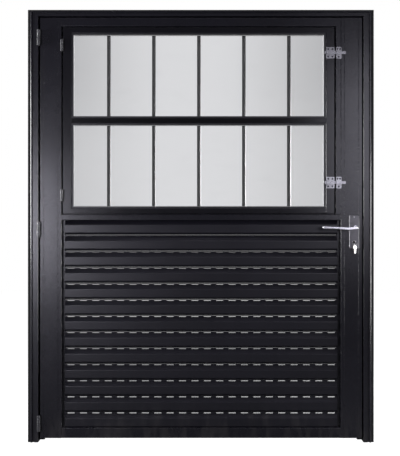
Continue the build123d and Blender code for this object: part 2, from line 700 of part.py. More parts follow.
def bolt_bases():
    """Base plate and guide of each bolt, on the lock stile of the sash."""
    solids = []
    x0 = SASH_RIGHT - SASH_STILE
    front = LEAF_FRONT - BASE_THICK
    for z in BOLT_HEIGHTS:
        base = block(x0, SASH_RIGHT, front, LEAF_FRONT, z - BASE_HEIGHT / 2, z + BASE_HEIGHT / 2)
        base = fillet(base.edges().filter_by(Axis.Y), BASE_ROUND)
        base += guide(x0 + GUIDE_INSET, SASH_RIGHT - GUIDE_INSET, z, front)
        for dz in (-1, 1):
            for x in (x0 + SASH_STILE / 4, SASH_RIGHT - SASH_STILE / 4):
                place = z + dz * BASE_HEIGHT / 3
                base -= rod((x, front - 1, place), (x, LEAF_FRONT + 1, place), SCREW_RADIUS)
        solids.append(base)
    return solids


def bolt_keepers():
    """Keeper of each bolt, on the strip beside the lock stile."""
    solids = []
    x0 = INNER_RIGHT - KEEPER_STRIP + KEEPER_SET
    x1 = x0 + KEEPER_WIDTH
    front = LEAF_FRONT - BASE_THICK
    for z in BOLT_HEIGHTS:
        plate = block(x0, x1, front, LEAF_FRONT, z - KEEPER_HEIGHT / 2, z + KEEPER_HEIGHT / 2)
        plate = fillet(plate.edges().filter_by(Axis.Y), 2 * BASE_ROUND)
        plate += guide(x0, x1, z, front)
        for x in (x0 + KEEPER_WIDTH / 4, x1 - KEEPER_WIDTH / 4):
            place = z + KEEPER_HEIGHT / 3
            plate -= rod((x, front - 1, place), (x, LEAF_FRONT + 1, place), SCREW_RADIUS)
        middle = (x0 + x1) / 2
        place = z - KEEPER_HEIGHT / 3
        plate -= rod((middle, front - 1, place), (middle, LEAF_FRONT + 1, place), 1.3 * SCREW_RADIUS)
        solids.append(plate)
    return solids


def sash_bolt(z):
    """Flat bolt, shot through the keeper, with a lug to push it by."""
    back = LEAF_FRONT - BASE_THICK - BOLT_CLEAR
    front = back - BOLT_THICK
    left = SASH_RIGHT - SASH_STILE - BOLT_LUG - LUG_OFF
    right = INNER_RIGHT - KEEPER_STRIP + KEEPER_SET + KEEPER_WIDTH + BOLT_PAST_KEEPER
    bolt = block(left, right, front, back, z - BOLT_WIDTH / 2, z + BOLT_WIDTH / 2)
    end = bolt.edges().filter_by(Axis.Y).sort_by(Axis.X)[-2:]
    bolt = fillet(end, BOLT_WIDTH / 4)
    return bolt + block(left, left + BOLT_LUG, front - BOLT_LUG, front, z - BOLT_WIDTH / 2, z + BOLT_WIDTH / 2)


# Lock

def cylinder_shape(grow, y0, y1):
    """Profile cylinder: a round barrel over a rounded web, grown on all sides."""
    x = LOCK_X
    web = CYLINDER_WEB + grow
    foot = CYLINDER_Z + CYLINDER_RADIUS - CYLINDER_HIGH + CYLINDER_WEB
    solid = rod((x, y0, CYLINDER_Z), (x, y1, CYLINDER_Z), CYLINDER_RADIUS + grow)
    solid += block(x - web, x + web, y0, y1, foot, CYLINDER_Z)
    return solid + rod((x, y0, foot), (x, y1, foot), web)


def cylinder_body():
    x = LOCK_X
    z = CYLINDER_Z
    slot = CAM_THICK / 2 + CAM_CLEAR
    solid = cylinder_shape(0, CYLINDER_FRONT, -CYLINDER_FRONT)
    solid -= rod((x, CYLINDER_FRONT - 1, z), (x, slot + PLUG_PAST_CAM, z), PLUG_RADIUS + PLUG_CLEAR)
    solid -= rod((x, -slot, z), (x, slot, z), CAM_RADIUS + 1)
    back = -CYLINDER_FRONT
    keyway = KEY_BLADE / 2 + KEYWAY_FIT
    half = KEY_THICK / 2 + KEYWAY_FIT
    return solid - block(x - half, x + half, back - BLIND_KEYWAY, back + 1, z - keyway, z + keyway)


def cylinder_plug():
    """Turning plug with its cam and keyway."""
    x = LOCK_X
    z = CYLINDER_Z
    cam = CAM_THICK / 2
    solid = rod((x, CYLINDER_FRONT, z), (x, cam + PLUG_PAST_CAM, z), PLUG_RADIUS)
    solid += rod((x, -cam, z), (x, cam, z), CYLINDER_RADIUS - FIT)
    solid += block(x - CAM_WIDTH / 2, x + CAM_WIDTH / 2, -cam, cam, z - CAM_RADIUS + 1, z)
    keyway = KEY_BLADE / 2 + KEYWAY_FIT
    half = KEY_THICK / 2 + KEYWAY_FIT
    return solid - block(x - half, x + half, CYLINDER_FRONT - 1, -cam - PLUG_PAST_CAM, z - keyway, z + keyway)


def key_blank(x, bow_radius, hole_z, tip, bow_top):
    """Flat key that hangs down in the plane x = constant; heights run along Z."""
    half = KEY_THICK / 2
    bow_z = bow_top - bow_radius
    bow = rod((x - half, 0, bow_z), (x + half, 0, bow_z), bow_radius)
    edge = KEY_BLADE / 2
    blade = [(-edge, bow_z), (edge, bow_z), (edge, tip + KEY_POINT), (0, tip), (-edge, tip + KEY_POINT)]
    pitch = (bow_z - bow_radius - tip - KEY_POINT) / (KEY_TEETH + 1)
    key = bow + prism_x(blade, x - half, x + half)
    for i in range(1, KEY_TEETH + 1):
        z = tip + KEY_POINT + pitch * i
        tooth = [(edge + 1, z - TOOTH_HALF), (edge - TOOTH_DEPTH, z), (edge + 1, z + TOOTH_HALF)]
        key -= prism_x(tooth, x - half - 1, x + half + 1)
    return key - rod((x - half - 1, 0, hole_z), (x + half + 1, 0, hole_z), KEY_HOLE_RADIUS)


def door_key():
    """The key in the plug: the hanging blank laid over so that its tip points to +Y."""
    bow_y = CYLINDER_FRONT - BOW_OUT
    reach = -bow_y - CAM_THICK / 2 - PLUG_PAST_CAM - 1
    key = key_blank(0, BOW_RADIUS, KEY_HOLE_OFF, -reach, BOW_RADIUS)
    return Pos(LOCK_X, bow_y, CYLINDER_Z) * Rot(90, 0, 0) * key


def ring_top():
    """Middle of the ring's wire where it hangs in the bow of the key."""
    y = CYLINDER_FRONT - BOW_OUT - KEY_HOLE_OFF
    z = CYLINDER_Z - KEY_HOLE_RADIUS + RING_WIRE + RING_SLACK
    return y, z


def key_ring():
    y, z = ring_top()
    return Pos(LOCK_X, y, z - RING_RADIUS) * Rot(90, 0, 0) * Torus(RING_RADIUS, RING_WIRE)


def spare_key():
    y, z = ring_top()
    hole = z - 2 * RING_RADIUS - (KEY_HOLE_RADIUS - RING_WIRE - RING_SLACK)
    bow_top = KEY_HOLE_RADIUS + 2
    key = key_blank(0, SPARE_BOW, 0, -SPARE_LENGTH, bow_top)
    return Pos(LOCK_X, y, hole) * Rot(0, 0, SPARE_TURN) * key


def lock_case():
    """Open-fronted case around the latch, the follower and the dead bolt."""
    half = CASE_THICK / 2
    inner = half - CASE_WALL
    solid = block(CASE_BACK_X, CASE_MOUTH_X, -half, half, CASE_FOOT, CASE_TOP)
    solid -= block(CASE_BACK_X + CASE_WALL, CASE_MOUTH_X + 1, -inner, inner,
                   CASE_FOOT + CASE_WALL, CASE_TOP - CASE_WALL)
    solid -= rod((LOCK_X, -half - 1, LEVER_HEIGHT), (LOCK_X, half + 1, LEVER_HEIGHT), NECK_RADIUS + FIT)
    return solid - cylinder_shape(FIT, -half - 1, half + 1)


def lock_faceplate():
    half = FACEPLATE_WIDTH / 2
    foot = CASE_FOOT - FACEPLATE_MARGIN + FIT
    top = CASE_TOP + FACEPLATE_MARGIN - FIT
    solid = block(CASE_MOUTH_X, LEAF_RIGHT, -half, half, foot, top)
    open_half = BOLT_HALF + FIT
    latch_half = LATCH_HIGH / 2 + FIT
    holes = [(LEVER_HEIGHT - latch_half, LEVER_HEIGHT + latch_half)]
    holes.append((DEADBOLT_FOOT - FIT, DEADBOLT_FOOT + DEADBOLT_HIGH + FIT))
    for z0, z1 in holes:
        solid -= block(CASE_MOUTH_X - 1, LEAF_RIGHT + 1, -open_half, open_half, z0, z1)
    for z in (foot + FACEPLATE_MARGIN / 3, top - FACEPLATE_MARGIN / 3):
        solid -= rod((CASE_MOUTH_X - 1, 0, z), (LEAF_RIGHT + 1, 0, z), SCREW_RADIUS)
    return solid


def handle_plate(side):
    """Long plate over the lever and the cylinder; side is -1 for the room side."""
    y0 = side * -LEAF_FRONT
    y1 = side * -PLATE_FRONT
    half = PLATE_WIDTH / 2
    solid = block(LOCK_X - half, LOCK_X + half, min(y0, y1), max(y0, y1), PLATE_FOOT, PLATE_TOP)
    solid = fillet(solid.edges().filter_by(Axis.Y), PLATE_ROUND)
    outer = solid.faces().sort_by(Axis.Y)[0 if side < 0 else -1]
    solid = chamfer(outer.edges(), 1.5)
    low, high = min(y0, y1) - 1, max(y0, y1) + 1
    solid -= rod((LOCK_X, low, LEVER_HEIGHT), (LOCK_X, high, LEVER_HEIGHT), NECK_RADIUS + FIT)
    return solid - cylinder_shape(FIT, low, high)


def lever(side):
    """Neck and gently curved grip; side is -1 for the room side."""
    x = LOCK_X
    z = LEVER_HEIGHT
    near = side * (-PLATE_FRONT - PLATE_THICK / 2)
    far = side * (-PLATE_FRONT + NECK_OUT)
    grip = side * (-PLATE_FRONT + NECK_OUT + LEVER_DEEP)
    tip = x - LEVER_LENGTH
    top = Spline(*[(x - share * LEVER_LENGTH, far, z - drop + half) for share, drop, half in LEVER_BENDS])
    foot = Spline(*[(x - share * LEVER_LENGTH, far, z - drop - half) for share, drop, half in LEVER_BENDS])
    nose = ThreePointArc(top @ 1, (tip, far, z - LEVER_BENDS[-1][1]), foot @ 1)
    tail = ThreePointArc(foot @ 0, (x + LEVER_TAIL, far, z - LEVER_BENDS[0][1]), top @ 0)
    bar = extrude(make_face([top, nose, foot, tail]), amount=abs(grip - far), dir=(0, side, 0))
    bar = fillet(bar.faces().sort_by(Axis.Y)[0 if side < 0 else -1].edges(), LEVER_DEEP / 4)
    bar += rod((x, near, z), (x, far + side * 2, z), NECK_RADIUS)
    hole = (SPINDLE + SPINDLE_FIT) / 2
    ends = sorted((near - side, side * spindle_half()))
    return bar - block(x - hole, x + hole, ends[0], ends[1] + SPINDLE_FIT, z - hole, z + hole)


def spindle_half():
    return -PLATE_FRONT + NECK_OUT - SPINDLE_SHORT


def spindle():
    half = SPINDLE / 2
    reach = spindle_half() - SPINDLE_FIT
    return block(LOCK_X - half, LOCK_X + half, -reach, reach, LEVER_HEIGHT - half, LEVER_HEIGHT + half)


def follower():
    """Hub on the spindle whose arm draws the latch."""
    x = LOCK_X
    z = LEVER_HEIGHT
    half = BOLT_HALF
    boss = CASE_THICK / 2
    arm = FOLLOWER_ARM_WIDTH / 2
    hole = (SPINDLE + SPINDLE_FIT) / 2
    solid = rod((x, -half, z), (x, half, z), FOLLOWER_RADIUS)
    solid += rod((x, -boss, z), (x, boss, z), NECK_RADIUS)
    solid += block(x - arm, x + arm, -half, half, z, z + FOLLOWER_ARM)
    return solid - block(x - hole, x + hole, -boss - 1, boss + 1, z - hole, z + hole)


def latch_bolt():
    """Bevelled latch with a tail that hooks behind the follower's arm."""
    x0 = LOCK_X + FOLLOWER_RADIUS + LATCH_OUT + MOVE_CLEAR
    x1 = LEAF_RIGHT + LATCH_OUT
    half = BOLT_HALF
    z0 = LEVER_HEIGHT - LATCH_HIGH / 2
    z1 = LEVER_HEIGHT + LATCH_HIGH / 2
    bevel = [(x1, -half), (x1, -half + LATCH_BEVEL), (LEAF_RIGHT + MOVE_CLEAR, half)]
    head = prism_z([(x0, -half)] + bevel + [(x0, half)], z0, z1)
    over = LEVER_HEIGHT + FOLLOWER_ARM + MOVE_CLEAR
    hook = LOCK_X - FOLLOWER_ARM_WIDTH / 2 - MOVE_CLEAR
    root = x0 + LATCH_BAR
    tail = [(x0, z1 - 1), (root, z1 - 1), (root, over + LATCH_BAR), (hook - HOOK_WIDE, over + LATCH_BAR)]
    tail += [(hook - HOOK_WIDE, over - HOOK_DEEP), (hook, over - HOOK_DEEP), (hook, over), (x0, over)]
    return head + prism_y(tail, -half, half)


def deadbolt():
    half = BOLT_HALF
    x1 = LEAF_RIGHT - FIT
    bolt = block(x1 - DEADBOLT_LONG, x1, -half, half, DEADBOLT_FOOT, DEADBOLT_FOOT + DEADBOLT_HIGH)
    return chamfer(bolt.faces().sort_by(Axis.X)[-1].edges(), 1)


def nodes():
    """Every node by name: a solid, or a list of like solids."""
    lower, upper = pane_spans()
    made = {
        "frame_jamb_left": jamb(-1),
        "frame_jamb_right": lock_jamb(),
        "frame_head": head(),
        "frame_seal": frame_seal(),
        "strike_plate": strike_plate(),
        "frame_hinges": frame_hinges(),
        "leaf_hinges": leaf_hinges(),
        "leaf_stile_left": leaf_stile(-1),
        "leaf_stile_right": lock_stile(),
        "leaf_top_rail": top_rail(),
        "leaf_mid_rail": mid_rail(),
        "leaf_bottom_rail": bottom_rail(),
        "keeper_strip": keeper_strip(),
        "sash_hinge_brackets": sash_hinge_brackets(),
        "bolt_keepers": bolt_keepers(),
        "lock_case": lock_case(),
        "lock_faceplate": lock_faceplate(),
        "handle_plate_inside": handle_plate(-1),
        "handle_plate_outside": handle_plate(1),
        "cylinder_body": cylinder_body(),
        "sash_stile_left": sash_stile(-1),
        "sash_stile_right": sash_stile(1),
        "sash_top_rail": sash_top_rail(),
        "sash_bottom_rail": sash_foot_rail(),
        "sash_transom": sash_transom(),
        "glass_lower": glass(lower),
        "glass_upper": glass(upper),
        "glazing_beads": glazing_beads(),
        "sash_hinge_knuckles": sash_hinge_knuckles(),
        "bolt_bases": bolt_bases(),
        "sash_bolt_lower": sash_bolt(BOLT_HEIGHTS[0]),
        "sash_bolt_upper": sash_bolt(BOLT_HEIGHTS[1]),
        "lever_inside": lever(-1),
        "lever_outside": lever(1),
        "lever_spindle": spindle(),
        "lock_follower": follower(),
        "latch_bolt": latch_bolt(),
        "dead_bolt": deadbolt(),
        "cylinder_plug": cylinder_plug(),
        "door_key": door_key(),
        "key_ring": key_ring(),
        "spare_key": spare_key(),
    }
    for i in range(BAR_COUNT):
        made[f"grille_bar_{i + 1}"] = grille_bar(i)
    for i in range(SLAT_COUNT):
        made[f"slat_{i + 1:02d}"] = slat(i)
    return made


def main():
    os.makedirs("parts", exist_ok=True)
    for name, shape in nodes().items():
        if isinstance(shape, list):
            shape = Compound(children=shape)
        export_step(shape, f"parts/{name}.step")


main()
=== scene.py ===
"""A black metal door leaf in its frame, with an opening glazed sash, grille bars and louvre slats.

Lengths are in metres. X runs from the hinges to the lock, Y away from the side that the photo
shows, and Z upwards from the floor."""
import json
from math import pi
import bmesh
import bpy
import numpy as np
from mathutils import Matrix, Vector


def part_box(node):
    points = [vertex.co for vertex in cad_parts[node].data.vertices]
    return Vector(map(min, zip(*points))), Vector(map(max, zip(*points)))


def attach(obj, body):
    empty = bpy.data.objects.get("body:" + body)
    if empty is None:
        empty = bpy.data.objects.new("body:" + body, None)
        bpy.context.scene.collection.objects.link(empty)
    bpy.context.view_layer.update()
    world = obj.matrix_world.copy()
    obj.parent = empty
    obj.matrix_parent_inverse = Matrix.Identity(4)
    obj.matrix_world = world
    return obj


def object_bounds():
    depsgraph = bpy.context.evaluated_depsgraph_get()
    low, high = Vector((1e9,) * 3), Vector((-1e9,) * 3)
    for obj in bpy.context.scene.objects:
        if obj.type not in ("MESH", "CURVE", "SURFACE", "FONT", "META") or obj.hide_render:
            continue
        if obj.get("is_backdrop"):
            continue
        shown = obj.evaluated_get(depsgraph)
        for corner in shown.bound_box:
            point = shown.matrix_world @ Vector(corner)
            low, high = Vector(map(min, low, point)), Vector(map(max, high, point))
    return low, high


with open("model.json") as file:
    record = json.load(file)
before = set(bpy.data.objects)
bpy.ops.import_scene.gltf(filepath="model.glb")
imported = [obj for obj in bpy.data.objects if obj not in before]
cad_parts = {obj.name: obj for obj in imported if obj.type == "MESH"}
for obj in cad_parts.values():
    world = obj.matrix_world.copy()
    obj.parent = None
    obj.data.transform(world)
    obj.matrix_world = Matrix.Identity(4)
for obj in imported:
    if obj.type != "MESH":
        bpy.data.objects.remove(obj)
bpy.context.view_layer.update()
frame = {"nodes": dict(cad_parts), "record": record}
nodes = frame["nodes"]
slot_of = {part["node"]: part["material_slot"] for part in frame["record"]["subparts"]}


# Shader trees

class Wire:
    """An output socket; arithmetic on it adds Math nodes to its tree."""

    def __init__(self, tree, socket):
        self.tree = tree
        self.socket = socket

    def math(self, operation, *others):
        inputs = dict(enumerate((self, *others)))
        return self.tree.node("ShaderNodeMath", {"operation": operation}, inputs)

    def __add__(self, other):
        return self.math("ADD", other)

    def __mul__(self, other):
        return self.math("MULTIPLY", other)

    def __rsub__(self, other):
        return self * -1 + other

    def __pow__(self, other):
        return self.math("POWER", other)

    def __abs__(self):
        return self.math("ABSOLUTE")

    def ease(self, low, high):
        """Smooth step from 0 at low to 1 at high; low may be the larger one."""
        values = {"Value": self, "From Min": low, "From Max": high}
        return self.tree.node("ShaderNodeMapRange", {"interpolation_type": "SMOOTHSTEP"}, values)


class Tree:
    """A node tree with one maker for all of its nodes."""

    def __init__(self, tree):
        tree.nodes.clear()
        self.tree = tree

    def node(self, kind, settings=(), values=(), out=0):
        """Adds a node, sets it up, and fills its inputs with wires or plain values."""
        made = self.tree.nodes.new(kind)
        for key, value in dict(settings).items():
            setattr(made, key, value)
        for key, value in dict(values).items():
            if isinstance(value, Wire):
                self.tree.links.new(value.socket, made.inputs[key])
            else:
                made.inputs[key].default_value = value
        return Wire(self, made.outputs[out]) if len(made.outputs) else None

    def place(self, kind="Object"):
        return self.node("ShaderNodeTexCoord", out=kind)

    def axis(self, which, kind="Object"):
        return self.node("ShaderNodeSeparateXYZ", values={0: self.place(kind)}, out=which)

    def ray(self, kind):
        return self.node("ShaderNodeLightPath", out=kind)

    def noise(self, scale, detail=2.0, stretch=(1, 1, 1)):
        factors = {0: self.place(), 1: stretch}
        where = self.node("ShaderNodeVectorMath", {"operation": "MULTIPLY"}, factors)
        values = {"Vector": where, "Scale": scale, "Detail": detail}
        return self.node("ShaderNodeTexNoise", values=values)

    def blend(self, share, a, b):
        return self.node("ShaderNodeMix", {"data_type": "RGBA"}, {0: share, 6: a, 7: b}, out=2)

    def bump(self, height, distance):
        values = {"Height": height, "Distance": distance, "Strength": 1.0}
        return self.node("ShaderNodeBump", values=values, out="Normal")


class Finish(Tree):
    """A material; surface() ends it with one Principled shader."""

    def __init__(self, name):
        self.material = bpy.data.materials.new(name)
        self.material.use_nodes = True
        super().__init__(self.material.node_tree)

    def surface(self, color, rough, normal=None, **fixed):
        values = {"Base Color": color, "Roughness": rough}
        values.update({key.replace("_", " "): value for key, value in fixed.items()})
        if normal is not None:
            values["Normal"] = normal
        shader = self.node("ShaderNodeBsdfPrincipled", values=values, out="BSDF")
        self.node("ShaderNodeOutputMaterial", values={"Surface": shader})
        return self.material


def rgb(r, g, b):
    return (r, g, b, 1.0)


def shade(tone, factor):
    return rgb(*[factor * c for c in tone])


BLACK, WHITE = rgb(0, 0, 0), rgb(1, 1, 1)
DUST = rgb(0.075, 0.07, 0.064)
# Painted shade for the frame's outer lip: a near black colour and a dull roughness
LIP_SHADE = rgb(0.003, 0.003, 0.0034)
LIP_SHADE_ROUGH = 0.95


def powder_coat(name, tone, rough, grain=1.0, lip=None):
    """Black powder coat: fine orange peel, cloudy tone, dust that gathers towards the floor.

    Beyond the lip's half width and height the outer edge gets painted shade: a near black, dull
    coat."""
    coat = Finish(name)
    cloud = coat.noise(2.2, 3.0).ease(0.3, 0.7)
    peel = coat.noise(650.0)
    specks = coat.noise(2400.0, 1.0).ease(0.66, 0.78)
    dust = coat.axis("Z").ease(0.22, 0.0) * coat.noise(26.0, 4.0, (1, 1, 0.3)).ease(0.42, 0.75)
    color = coat.blend(cloud, shade(tone, 0.86), shade(tone, 1.16))
    color = coat.blend(specks * 0.35, color, shade(tone, 2.6))
    color = coat.blend(dust * 0.22, color, DUST)
    roughness = coat.noise(9.0, 3.0) * 0.05 + peel * 0.05 + dust * 0.1 + (rough - 0.05)
    # Painted shade: past the lip's edges the coat turns near black and dull, with a wobbly border
    if lip:
        half_width, height = lip
        begin, full = 0.0005, 0.0015
        shade_edge_wobble = coat.noise(90.0, 3.0) * 0.002
        side = (abs(coat.axis("X")) + shade_edge_wobble).ease(half_width + begin, half_width + full)
        head = (coat.axis("Z") + shade_edge_wobble).ease(height + begin, height + full)
        lip_shade = side.math("MAXIMUM", head)
        color = coat.blend(lip_shade, color, LIP_SHADE)
        roughness = roughness + lip_shade * (LIP_SHADE_ROUGH - roughness)
    return coat.surface(color, roughness, coat.bump(peel, 0.00006 * grain), IOR=1.5)


def rubber(name):
    """Dull black rubber, slightly bloomed."""
    band = Finish(name)
    bloom = band.noise(60.0, 4.0).ease(0.4, 0.75)
    color = band.blend(bloom, rgb(0.012, 0.012, 0.012), rgb(0.03, 0.03, 0.031))
    roughness = band.noise(300.0) * 0.2 + 0.62
    return band.surface(color, roughness, band.bump(band.noise(900.0), 0.00005))


def sealant(name):
    """Pale silicone line round a pane, soiled in places; a faint painted glow, standing in for
    light passing through it, keeps it light beside the dark metal."""
    line = Finish(name)
    soiled = line.noise(35.0, 4.0).ease(0.5, 0.8)
    color = line.blend(soiled, rgb(0.72, 0.72, 0.71), rgb(0.5, 0.5, 0.48))
    roughness = line.noise(200.0) * 0.2 + 0.35
    # Painted light: the emission makes the sealant glow in place of light coming through it
    return line.surface(color, roughness, line.bump(line.noise(140.0), 0.0001),
                        Emission_Color=rgb(0.9, 0.9, 0.9), Emission_Strength=0.4)


def clear_glass(name):
    """Float glass with faint wiping marks."""
    pane = Finish(name)
    smear = pane.noise(7.0, 5.0, (1, 1, 2.4)).ease(0.48, 0.8)
    color = pane.blend(smear, rgb(0.95, 0.955, 0.96), rgb(0.93, 0.935, 0.94))
    return pane.surface(color, smear * 0.02, Transmission_Weight=1.0, IOR=1.45)


def metal(name, tone, rough, brush=(1, 1, 1), scale=900.0, mark=0.5, depth=0.00002):
    """Bare or plated metal: a grain stretched by the brush, handling marks, fine scratches."""
    bare = Finish(name)
    grain = bare.noise(scale, 3.0, brush)
    marks = bare.noise(70.0, 5.0).ease(0.45, 0.8)
    scratch = bare.noise(420.0, 2.0, (0.12, 1, 1)).ease(0.7, 0.8)
    color = bare.blend(grain.ease(0.25, 0.75), shade(tone, 0.8), rgb(*tone))
    color = bare.blend(marks * mark * 0.5, color, shade(tone, 0.62))
    roughness = grain * 0.1 + marks * (0.16 * mark) + scratch * 0.1 + (rough - 0.08)
    return bare.surface(color, roughness, bare.bump(grain, depth), Metallic=1.0)


def hinge_paint(name):
    """Black paint on the hinges, rubbed through to bright steel in patches."""
    paint = Finish(name)
    worn = paint.noise(240.0, 4.0).ease(0.56, 0.68)
    peel = paint.noise(700.0)
    color = paint.blend(worn, rgb(0.02, 0.02, 0.023), rgb(0.34, 0.34, 0.35))
    roughness = 0.5 - worn * 0.15 + peel * 0.05
    return paint.surface(color, roughness, paint.bump(peel, 0.00005), Metallic=worn)


# Edges of the frame's outer lip, beyond which the frame gets painted shade
LIP_HALF_WIDTH, LIP_HEIGHT = 0.828, 2.0925
UPRIGHT_BRUSH, CROSSWAYS_BRUSH, FRONT_BRUSH = (6, 1, 0.05), (0.08, 1, 1), (1, 6, 0.05)

finishes = {
    "frame_black": powder_coat("frame_powder_coat", (0.0075, 0.0072, 0.0105), 0.28,
                               lip=(LIP_HALF_WIDTH, LIP_HEIGHT)),
    "leaf_black": powder_coat("leaf_powder_coat", (0.006, 0.0057, 0.0088), 0.27, grain=0.6),
    "sash_black": powder_coat("sash_powder_coat", (0.0035, 0.0033, 0.005), 0.23, grain=0.5),
    "slat_black": powder_coat("slat_powder_coat", (0.0055, 0.0052, 0.0085), 0.34, grain=0.6),
    "grille_black": powder_coat("bar_powder_coat", (0.014, 0.014, 0.015), 0.38),
    "bead_black": powder_coat("bead_powder_coat", (0.012, 0.012, 0.014), 0.38),
    "seal_rubber": rubber("seal_rubber"),
    "clear_glass": clear_glass("float_glass"),
    "hinge_steel": hinge_paint("hinge_paint"),
    "bolt_zinc": metal("bright_zinc", (0.33, 0.33, 0.34), 0.3,
                       scale=500.0, mark=1.0, depth=0.00008),
    "plate_steel": metal("satin_plate", (0.15, 0.148, 0.155), 0.4,
                         brush=UPRIGHT_BRUSH, scale=700.0, mark=0.9, depth=0.00006),
    "lever_chrome": metal("polished_lever", (0.74, 0.74, 0.77), 0.24,
                          brush=CROSSWAYS_BRUSH, scale=600.0, mark=0.25, depth=0.000004),
    "lock_steel": metal("lock_front_steel", (0.5, 0.5, 0.5), 0.32, brush=FRONT_BRUSH),
    "case_steel": metal("plain_zinc", (0.42, 0.42, 0.43), 0.4, mark=0.9),
    "cylinder_nickel": metal("satin_nickel", (0.85, 0.84, 0.82), 0.22,
                             scale=500.0, depth=0.0002),
    "key_nickel": metal("key_nickel", (0.3, 0.295, 0.285), 0.16,
                        scale=330.0, mark=0.9, depth=0.00025),
}
sealant_with_painted_glow = sealant("sealant_with_painted_glow")
screw_steel = metal("screw_zinc", (0.5, 0.5, 0.51), 0.32, mark=0.9)
dark_screw = metal("blackened_screw", (0.045, 0.045, 0.05), 0.4, mark=0.6)
transom_coat = powder_coat("transom_powder_coat", (0.002, 0.0019, 0.0026), 0.2, grain=0.4)

# Folded sheet has round edges, which catch the light as thin lines. The faces of a solid
# share no corners, so they are joined before the rounding.
EDGE_ROUNDS = {"leaf_black": 0.0014, "sash_black": 0.0012, "slat_black": 0.0005}
JOIN_DISTANCE = 0.00001
SHARP_ANGLE = 0.5

for name, thing in nodes.items():
    slot = slot_of[name]
    thing.material_slots[0].material = transom_coat if name == "sash_transom" else finishes[slot]
    if slot in EDGE_ROUNDS:
        thing.modifiers.new("joined_faces", "WELD").merge_threshold = JOIN_DISTANCE
        rounding = thing.modifiers.new("round_edges", "BEVEL")
        rounding.width = EDGE_ROUNDS[slot]
        rounding.segments = 3
        rounding.limit_method = "ANGLE"
        rounding.angle_limit = SHARP_ANGLE
        rounding.harden_normals = True


# Surfaces

CREASE = 0.6
OPEN_TUBE, CLOSED_RING = (False, True), (True, True)


def grid_faces(rows, columns, wrap_rows, wrap_columns, start):
    """Quads between neighbouring points of a grid, as an array of vertex numbers."""
    i = np.arange(rows if wrap_rows else rows - 1)[:, None]
    j = np.arange(columns if wrap_columns else columns - 1)[None, :]
    ni, nj = (i + 1) % rows, (j + 1) % columns
    corners = [i * columns + j, i * columns + nj, ni * columns + nj, ni * columns + j]
    return np.stack(corners, -1).reshape(-1, 4) + start


def piece(name, grids, body, material, wrap=OPEN_TUBE):
    """One object from grids of points (rows, columns, 3): doubles merged, normals outwards,
    smooth below the crease angle."""
    points, faces, start = [], [], 0
    for grid in grids:
        rows, columns = grid.shape[:2]
        faces.append(grid_faces(rows, columns, *wrap, start))
        points.append(grid.reshape(-1, 3))
        start += rows * columns
    mesh = bpy.data.meshes.new(name)
    mesh.from_pydata(np.concatenate(points).tolist(), [], np.concatenate(faces).tolist())
    shape = bmesh.new()
    shape.from_mesh(mesh)
    bmesh.ops.remove_doubles(shape, verts=shape.verts, dist=1e-6)
    bmesh.ops.dissolve_degenerate(shape, edges=shape.edges, dist=1e-7)
    bmesh.ops.recalc_face_normals(shape, faces=shape.faces)
    shape.to_mesh(mesh)
    shape.free()
    mesh.polygons.foreach_set("use_smooth", np.ones(len(mesh.polygons), bool))
    mesh.set_sharp_from_angle(angle=CREASE)
    made = bpy.data.objects.new(name, mesh)
    bpy.context.scene.collection.objects.link(made)
    made.data.materials.append(material)
    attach(made, body)


def turned(profile, centre, axis, turns):
    """Surface of revolution from (radius, height) pairs: a point at angle a is
    centre + radius (cos a side + sin a other) + height axis."""
    axis = Vector(axis).normalized()
    side = axis.orthogonal().normalized()
    other = axis.cross(side)
    angle = np.arange(turns)[:, None] * 2 * pi / turns
    radius, height = np.asarray(profile, float).T
    ring = np.cos(angle) * np.array(side) + np.sin(angle) * np.array(other)
    along = (height[:, None] * np.array(axis))[:, None]
    return np.array(centre) + radius[:, None, None] * ring[None] + along


HEAD_TURNS = 32
HEAD_SUNK = 0.0006
ARM_WIDTH, ARM_REACH, RECESS_DEPTH = 0.17, 0.6, 0.6


def screw_head(centre, axis, radius, rise, spin):
    """Domed head: height = rise (1 - r^4) for r from 0 to 1, less a recess where a point lies
    in either arm of a cross turned by spin, with a flat base sunk into what it holds."""
    share = np.concatenate([[0.0], np.linspace(0.12, 0.94, 9), [1.0, 1.0, 0.0]])
    profile = np.stack([share * radius, rise * (1 - share ** 4)], 1)
    profile[-2:, 1] = -HEAD_SUNK
    points = turned(profile, (0, 0, 0), (0, 0, 1), HEAD_TURNS)
    x, y = points[:-2, :, 0], points[:-2, :, 1]
    u = abs(np.cos(spin) * x - np.sin(spin) * y)
    v = abs(np.sin(spin) * x + np.cos(spin) * y)
    arm, reach = ARM_WIDTH * radius, ARM_REACH * radius
    inside = ((u < arm) & (v < reach)) | ((v < arm) & (u < reach))
    points[:-2, :, 2] -= np.where(inside, RECESS_DEPTH * rise, 0.0)
    axis = Vector(axis).normalized()
    side = axis.orthogonal().normalized()
    basis = np.array([side, axis.cross(side), axis])
    return points @ basis + np.array(centre)


def half_round(start, half_width, y, rise):
    """Profile of (distance in, y) pairs: start + half_width (1 - cos a), y + rise sin a."""
    arc = np.linspace(0, pi, 7)
    return np.stack([start + half_width * (1 - np.cos(arc)), y + rise * np.sin(arc)], 1)


def pane_ring(low, high, profile, level=1.0):
    """A profile carried round a pane's rectangle with mitred corners: x and z are the corner's
    plus or minus the distance in. On the level sides its width is multiplied by level."""
    distance, y = profile.T
    deep = distance.min() + (distance - distance.min()) * level
    corners = [(low.x, low.z, 1, 1), (high.x, low.z, -1, 1),
               (high.x, high.z, -1, -1), (low.x, high.z, 1, -1)]
    return np.stack([np.stack([x + across * distance, y, z + up * deep], 1)
                     for x, z, across, up in corners])


# Screws of the sash bolts and their keepers: four on each base, three on each keeper
PLATE_FACE = -0.027
BASE_HALF, KEEPER_HALF = 0.0275, 0.0285
BOLT_HEAD = (0.0045, 0.0012)
FRONT, BACK, LEFT, RIGHT = (0, -1, 0), (0, 1, 0), (-1, 0, 0), (1, 0, 0)

